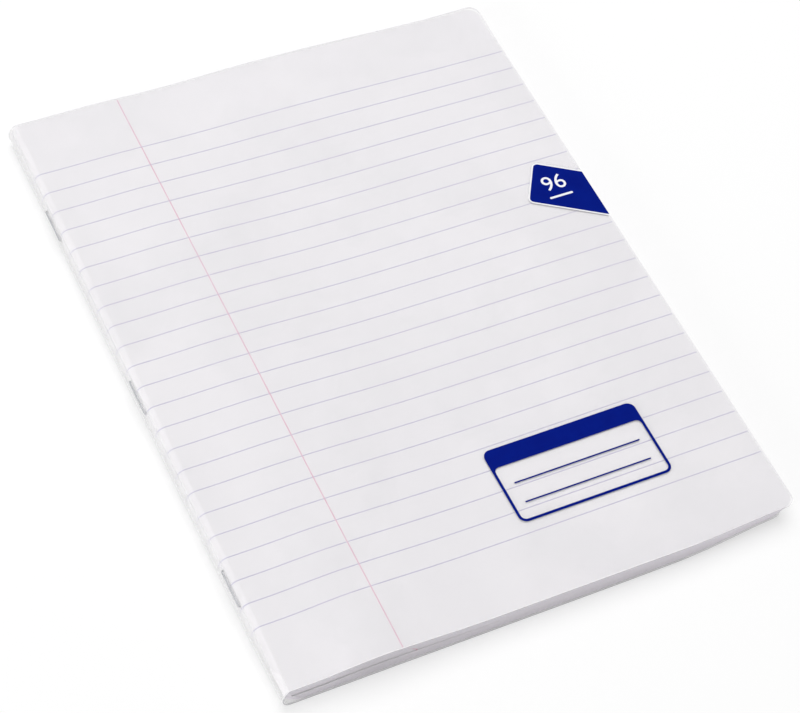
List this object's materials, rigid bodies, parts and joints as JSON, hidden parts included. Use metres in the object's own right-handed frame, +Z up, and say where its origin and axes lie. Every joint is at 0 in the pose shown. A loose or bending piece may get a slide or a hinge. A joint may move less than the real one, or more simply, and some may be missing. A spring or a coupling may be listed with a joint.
{
  "type": "stapled exercise book",
  "caption": "Stapled exercise book with a clear wrap-round plastic cover over ruled leaves; the front cover opens and the leaves turn about the spine.",
  "frame": {"origin": "centre of the book's box, on the face it lies on", "axes": "+X from the spine to the fore edge, +Y from the tail to the head, +Z up from the back cover to the front cover"},
  "size_m": [0.1706, 0.22, 0.0082],
  "materials": {
    "cover_sheet": "clear polypropylene sheet, faintly milky",
    "paper": "smooth white ruled writing paper",
    "wire": "drawn steel wire"
  },
  "bodies": {
    "base": {"back_cover": "cover_sheet", "cover_spine": "cover_sheet", "sheet_folds": "paper", "staples": "wire"},
    "leaf_01": {"leaf_01": "paper"},
    "leaf_02": {"leaf_02": "paper"},
    "leaf_03": {"leaf_03": "paper"},
    "leaf_04": {"leaf_04": "paper"},
    "leaf_05": {"leaf_05": "paper"},
    "leaf_06": {"leaf_06": "paper"},
    "leaf_07": {"leaf_07": "paper"},
    "leaf_08": {"leaf_08": "paper"},
    "leaf_09": {"leaf_09": "paper"},
    "leaf_10": {"leaf_10": "paper"},
    "leaf_11": {"leaf_11": "paper"},
    "leaf_12": {"leaf_12": "paper"},
    "leaf_13": {"leaf_13": "paper"},
    "leaf_14": {"leaf_14": "paper"},
    "leaf_15": {"leaf_15": "paper"},
    "leaf_16": {"leaf_16": "paper"},
    "leaf_17": {"leaf_17": "paper"},
    "leaf_18": {"leaf_18": "paper"},
    "leaf_19": {"leaf_19": "paper"},
    "leaf_20": {"leaf_20": "paper"},
    "leaf_21": {"leaf_21": "paper"},
    "leaf_22": {"leaf_22": "paper"},
    "leaf_23": {"leaf_23": "paper"},
    "leaf_24": {"leaf_24": "paper"},
    "leaf_25": {"leaf_25": "paper"},
    "leaf_26": {"leaf_26": "paper"},
    "leaf_27": {"leaf_27": "paper"},
    "leaf_28": {"leaf_28": "paper"},
    "leaf_29": {"leaf_29": "paper"},
    "leaf_30": {"leaf_30": "paper"},
    "leaf_31": {"leaf_31": "paper"},
    "leaf_32": {"leaf_32": "paper"},
    "leaf_33": {"leaf_33": "paper"},
    "leaf_34": {"leaf_34": "paper"},
    "leaf_35": {"leaf_35": "paper"},
    "leaf_36": {"leaf_36": "paper"},
    "leaf_37": {"leaf_37": "paper"},
    "leaf_38": {"leaf_38": "paper"},
    "leaf_39": {"leaf_39": "paper"},
    "leaf_40": {"leaf_40": "paper"},
    "leaf_41": {"leaf_41": "paper"},
    "leaf_42": {"leaf_42": "paper"},
    "leaf_43": {"leaf_43": "paper"},
    "leaf_44": {"leaf_44": "paper"},
    "leaf_45": {"leaf_45": "paper"},
    "leaf_46": {"leaf_46": "paper"},
    "leaf_47": {"leaf_47": "paper"},
    "leaf_48": {"leaf_48": "paper"},
    "front_cover": {"front_cover": "cover_sheet"}
  },
  "joints": [
    {"name": "leaf_01_turn", "type": "hinge", "parent": "base", "child": "leaf_01", "pos_m": [-0.08062, 0, 0.00409], "axis": [0, -1, 0], "range_deg": [0, 178]},
    {"name": "leaf_02_turn", "type": "hinge", "parent": "base", "child": "leaf_02", "pos_m": [-0.08062, 0, 0.00409], "axis": [0, -1, 0], "range_deg": [0, 178]},
    {"name": "leaf_03_turn", "type": "hinge", "parent": "base", "child": "leaf_03", "pos_m": [-0.08062, 0, 0.00409], "axis": [0, -1, 0], "range_deg": [0, 178]},
    {"name": "leaf_04_turn", "type": "hinge", "parent": "base", "child": "leaf_04", "pos_m": [-0.08062, 0, 0.00409], "axis": [0, -1, 0], "range_deg": [0, 178]},
    {"name": "leaf_05_turn", "type": "hinge", "parent": "base", "child": "leaf_05", "pos_m": [-0.08062, 0, 0.00409], "axis": [0, -1, 0], "range_deg": [0, 178]},
    {"name": "leaf_06_turn", "type": "hinge", "parent": "base", "child": "leaf_06", "pos_m": [-0.08062, 0, 0.00409], "axis": [0, -1, 0], "range_deg": [0, 178]},
    {"name": "leaf_07_turn", "type": "hinge", "parent": "base", "child": "leaf_07", "pos_m": [-0.08062, 0, 0.00409], "axis": [0, -1, 0], "range_deg": [0, 178]},
    {"name": "leaf_08_turn", "type": "hinge", "parent": "base", "child": "leaf_08", "pos_m": [-0.08062, 0, 0.00409], "axis": [0, -1, 0], "range_deg": [0, 178]},
    {"name": "leaf_09_turn", "type": "hinge", "parent": "base", "child": "leaf_09", "pos_m": [-0.08062, 0, 0.00409], "axis": [0, -1, 0], "range_deg": [0, 178]},
    {"name": "leaf_10_turn", "type": "hinge", "parent": "base", "child": "leaf_10", "pos_m": [-0.08062, 0, 0.00409], "axis": [0, -1, 0], "range_deg": [0, 178]},
    {"name": "leaf_11_turn", "type": "hinge", "parent": "base", "child": "leaf_11", "pos_m": [-0.08062, 0, 0.00409], "axis": [0, -1, 0], "range_deg": [0, 178]},
    {"name": "leaf_12_turn", "type": "hinge", "parent": "base", "child": "leaf_12", "pos_m": [-0.08062, 0, 0.00409], "axis": [0, -1, 0], "range_deg": [0, 178]},
    {"name": "leaf_13_turn", "type": "hinge", "parent": "base", "child": "leaf_13", "pos_m": [-0.08062, 0, 0.00409], "axis": [0, -1, 0], "range_deg": [0, 178]},
    {"name": "leaf_14_turn", "type": "hinge", "parent": "base", "child": "leaf_14", "pos_m": [-0.08062, 0, 0.00409], "axis": [0, -1, 0], "range_deg": [0, 178]},
    {"name": "leaf_15_turn", "type": "hinge", "parent": "base", "child": "leaf_15", "pos_m": [-0.08062, 0, 0.00409], "axis": [0, -1, 0], "range_deg": [0, 178]},
    {"name": "leaf_16_turn", "type": "hinge", "parent": "base", "child": "leaf_16", "pos_m": [-0.08062, 0, 0.00409], "axis": [0, -1, 0], "range_deg": [0, 178]},
    {"name": "leaf_17_turn", "type": "hinge", "parent": "base", "child": "leaf_17", "pos_m": [-0.08062, 0, 0.00409], "axis": [0, -1, 0], "range_deg": [0, 178]},
    {"name": "leaf_18_turn", "type": "hinge", "parent": "base", "child": "leaf_18", "pos_m": [-0.08062, 0, 0.00409], "axis": [0, -1, 0], "range_deg": [0, 178]},
    {"name": "leaf_19_turn", "type": "hinge", "parent": "base", "child": "leaf_19", "pos_m": [-0.08062, 0, 0.00409], "axis": [0, -1, 0], "range_deg": [0, 178]},
    {"name": "leaf_20_turn", "type": "hinge", "parent": "base", "child": "leaf_20", "pos_m": [-0.08062, 0, 0.00409], "axis": [0, -1, 0], "range_deg": [0, 178]},
    {"name": "leaf_21_turn", "type": "hinge", "parent": "base", "child": "leaf_21", "pos_m": [-0.08062, 0, 0.00409], "axis": [0, -1, 0], "range_deg": [0, 178]},
    {"name": "leaf_22_turn", "type": "hinge", "parent": "base", "child": "leaf_22", "pos_m": [-0.08062, 0, 0.00409], "axis": [0, -1, 0], "range_deg": [0, 178]},
    {"name": "leaf_23_turn", "type": "hinge", "parent": "base", "child": "leaf_23", "pos_m": [-0.08062, 0, 0.00409], "axis": [0, -1, 0], "range_deg": [0, 178]},
    {"name": "leaf_24_turn", "type": "hinge", "parent": "base", "child": "leaf_24", "pos_m": [-0.08062, 0, 0.00409], "axis": [0, -1, 0], "range_deg": [0, 178]},
    {"name": "leaf_25_turn", "type": "hinge", "parent": "base", "child": "leaf_25", "pos_m": [-0.08062, 0, 0.00409], "axis": [0, -1, 0], "range_deg": [0, 178]},
    {"name": "leaf_26_turn", "type": "hinge", "parent": "base", "child": "leaf_26", "pos_m": [-0.08062, 0, 0.00409], "axis": [0, -1, 0], "range_deg": [0, 178]},
    {"name": "leaf_27_turn", "type": "hinge", "parent": "base", "child": "leaf_27", "pos_m": [-0.08062, 0, 0.00409], "axis": [0, -1, 0], "range_deg": [0, 178]},
    {"name": "leaf_28_turn", "type": "hinge", "parent": "base", "child": "leaf_28", "pos_m": [-0.08062, 0, 0.00409], "axis": [0, -1, 0], "range_deg": [0, 178]},
    {"name": "leaf_29_turn", "type": "hinge", "parent": "base", "child": "leaf_29", "pos_m": [-0.08062, 0, 0.00409], "axis": [0, -1, 0], "range_deg": [0, 178]},
    {"name": "leaf_30_turn", "type": "hinge", "parent": "base", "child": "leaf_30", "pos_m": [-0.08062, 0, 0.00409], "axis": [0, -1, 0], "range_deg": [0, 178]},
    {"name": "leaf_31_turn", "type": "hinge", "parent": "base", "child": "leaf_31", "pos_m": [-0.08062, 0, 0.00409], "axis": [0, -1, 0], "range_deg": [0, 178]},
    {"name": "leaf_32_turn", "type": "hinge", "parent": "base", "child": "leaf_32", "pos_m": [-0.08062, 0, 0.00409], "axis": [0, -1, 0], "range_deg": [0, 178]},
    {"name": "leaf_33_turn", "type": "hinge", "parent": "base", "child": "leaf_33", "pos_m": [-0.08062, 0, 0.00409], "axis": [0, -1, 0], "range_deg": [0, 178]},
    {"name": "leaf_34_turn", "type": "hinge", "parent": "base", "child": "leaf_34", "pos_m": [-0.08062, 0, 0.00409], "axis": [0, -1, 0], "range_deg": [0, 178]},
    {"name": "leaf_35_turn", "type": "hinge", "parent": "base", "child": "leaf_35", "pos_m": [-0.08062, 0, 0.00409], "axis": [0, -1, 0], "range_deg": [0, 178]},
    {"name": "leaf_36_turn", "type": "hinge", "parent": "base", "child": "leaf_36", "pos_m": [-0.08062, 0, 0.00409], "axis": [0, -1, 0], "range_deg": [0, 178]},
    {"name": "leaf_37_turn", "type": "hinge", "parent": "base", "child": "leaf_37", "pos_m": [-0.08062, 0, 0.00409], "axis": [0, -1, 0], "range_deg": [0, 178]},
    {"name": "leaf_38_turn", "type": "hinge", "parent": "base", "child": "leaf_38", "pos_m": [-0.08062, 0, 0.00409], "axis": [0, -1, 0], "range_deg": [0, 178]},
    {"name": "leaf_39_turn", "type": "hinge", "parent": "base", "child": "leaf_39", "pos_m": [-0.08062, 0, 0.00409], "axis": [0, -1, 0], "range_deg": [0, 178]},
    {"name": "leaf_40_turn", "type": "hinge", "parent": "base", "child": "leaf_40", "pos_m": [-0.08062, 0, 0.00409], "axis": [0, -1, 0], "range_deg": [0, 178]},
    {"name": "leaf_41_turn", "type": "hinge", "parent": "base", "child": "leaf_41", "pos_m": [-0.08062, 0, 0.00409], "axis": [0, -1, 0], "range_deg": [0, 178]},
    {"name": "leaf_42_turn", "type": "hinge", "parent": "base", "child": "leaf_42", "pos_m": [-0.08062, 0, 0.00409], "axis": [0, -1, 0], "range_deg": [0, 178]},
    {"name": "leaf_43_turn", "type": "hinge", "parent": "base", "child": "leaf_43", "pos_m": [-0.08062, 0, 0.00409], "axis": [0, -1, 0], "range_deg": [0, 178]},
    {"name": "leaf_44_turn", "type": "hinge", "parent": "base", "child": "leaf_44", "pos_m": [-0.08062, 0, 0.00409], "axis": [0, -1, 0], "range_deg": [0, 178]},
    {"name": "leaf_45_turn", "type": "hinge", "parent": "base", "child": "leaf_45", "pos_m": [-0.08062, 0, 0.00409], "axis": [0, -1, 0], "range_deg": [0, 178]},
    {"name": "leaf_46_turn", "type": "hinge", "parent": "base", "child": "leaf_46", "pos_m": [-0.08062, 0, 0.00409], "axis": [0, -1, 0], "range_deg": [0, 178]},
    {"name": "leaf_47_turn", "type": "hinge", "parent": "base", "child": "leaf_47", "pos_m": [-0.08062, 0, 0.00409], "axis": [0, -1, 0], "range_deg": [0, 178]},
    {"name": "leaf_48_turn", "type": "hinge", "parent": "base", "child": "leaf_48", "pos_m": [-0.08062, 0, 0.00409], "axis": [0, -1, 0], "range_deg": [0, 178]},
    {"name": "front_cover_hinge", "type": "hinge", "parent": "leaf_01", "child": "front_cover", "pos_m": [-0.07729, 0, 0.00827], "axis": [0, -1, 0], "range_deg": [0, 178]}
  ],
  "couplings": [
    {"joint": "leaf_02_turn", "follows": "leaf_01_turn", "ratio": 0.99149},
    {"joint": "leaf_03_turn", "follows": "leaf_01_turn", "ratio": 0.98298},
    {"joint": "leaf_04_turn", "follows": "leaf_01_turn", "ratio": 0.97447},
    {"joint": "leaf_05_turn", "follows": "leaf_01_turn", "ratio": 0.96596},
    {"joint": "leaf_06_turn", "follows": "leaf_01_turn", "ratio": 0.95745},
    {"joint": "leaf_07_turn", "follows": "leaf_01_turn", "ratio": 0.94894},
    {"joint": "leaf_08_turn", "follows": "leaf_01_turn", "ratio": 0.94043},
    {"joint": "leaf_09_turn", "follows": "leaf_01_turn", "ratio": 0.93192},
    {"joint": "leaf_10_turn", "follows": "leaf_01_turn", "ratio": 0.9234},
    {"joint": "leaf_11_turn", "follows": "leaf_01_turn", "ratio": 0.91489},
    {"joint": "leaf_12_turn", "follows": "leaf_01_turn", "ratio": 0.90638},
    {"joint": "leaf_13_turn", "follows": "leaf_01_turn", "ratio": 0.89787},
    {"joint": "leaf_14_turn", "follows": "leaf_01_turn", "ratio": 0.88936},
    {"joint": "leaf_15_turn", "follows": "leaf_01_turn", "ratio": 0.88085},
    {"joint": "leaf_16_turn", "follows": "leaf_01_turn", "ratio": 0.87234},
    {"joint": "leaf_17_turn", "follows": "leaf_01_turn", "ratio": 0.86383},
    {"joint": "leaf_18_turn", "follows": "leaf_01_turn", "ratio": 0.85532},
    {"joint": "leaf_19_turn", "follows": "leaf_01_turn", "ratio": 0.84681},
    {"joint": "leaf_20_turn", "follows": "leaf_01_turn", "ratio": 0.8383},
    {"joint": "leaf_21_turn", "follows": "leaf_01_turn", "ratio": 0.82979},
    {"joint": "leaf_22_turn", "follows": "leaf_01_turn", "ratio": 0.82128},
    {"joint": "leaf_23_turn", "follows": "leaf_01_turn", "ratio": 0.81277},
    {"joint": "leaf_24_turn", "follows": "leaf_01_turn", "ratio": 0.80426},
    {"joint": "leaf_25_turn", "follows": "leaf_01_turn", "ratio": 0.79575},
    {"joint": "leaf_26_turn", "follows": "leaf_01_turn", "ratio": 0.78723},
    {"joint": "leaf_27_turn", "follows": "leaf_01_turn", "ratio": 0.77872},
    {"joint": "leaf_28_turn", "follows": "leaf_01_turn", "ratio": 0.77021},
    {"joint": "leaf_29_turn", "follows": "leaf_01_turn", "ratio": 0.7617},
    {"joint": "leaf_30_turn", "follows": "leaf_01_turn", "ratio": 0.75319},
    {"joint": "leaf_31_turn", "follows": "leaf_01_turn", "ratio": 0.74468},
    {"joint": "leaf_32_turn", "follows": "leaf_01_turn", "ratio": 0.73617},
    {"joint": "leaf_33_turn", "follows": "leaf_01_turn", "ratio": 0.72766},
    {"joint": "leaf_34_turn", "follows": "leaf_01_turn", "ratio": 0.71915},
    {"joint": "leaf_35_turn", "follows": "leaf_01_turn", "ratio": 0.71064},
    {"joint": "leaf_36_turn", "follows": "leaf_01_turn", "ratio": 0.70213},
    {"joint": "leaf_37_turn", "follows": "leaf_01_turn", "ratio": 0.69362},
    {"joint": "leaf_38_turn", "follows": "leaf_01_turn", "ratio": 0.68511},
    {"joint": "leaf_39_turn", "follows": "leaf_01_turn", "ratio": 0.6766},
    {"joint": "leaf_40_turn", "follows": "leaf_01_turn", "ratio": 0.66809},
    {"joint": "leaf_41_turn", "follows": "leaf_01_turn", "ratio": 0.65957},
    {"joint": "leaf_42_turn", "follows": "leaf_01_turn", "ratio": 0.65106},
    {"joint": "leaf_43_turn", "follows": "leaf_01_turn", "ratio": 0.64255},
    {"joint": "leaf_44_turn", "follows": "leaf_01_turn", "ratio": 0.63404},
    {"joint": "leaf_45_turn", "follows": "leaf_01_turn", "ratio": 0.62553},
    {"joint": "leaf_46_turn", "follows": "leaf_01_turn", "ratio": 0.61702},
    {"joint": "leaf_47_turn", "follows": "leaf_01_turn", "ratio": 0.60851},
    {"joint": "leaf_48_turn", "follows": "leaf_01_turn", "ratio": 0.6}
  ]
}
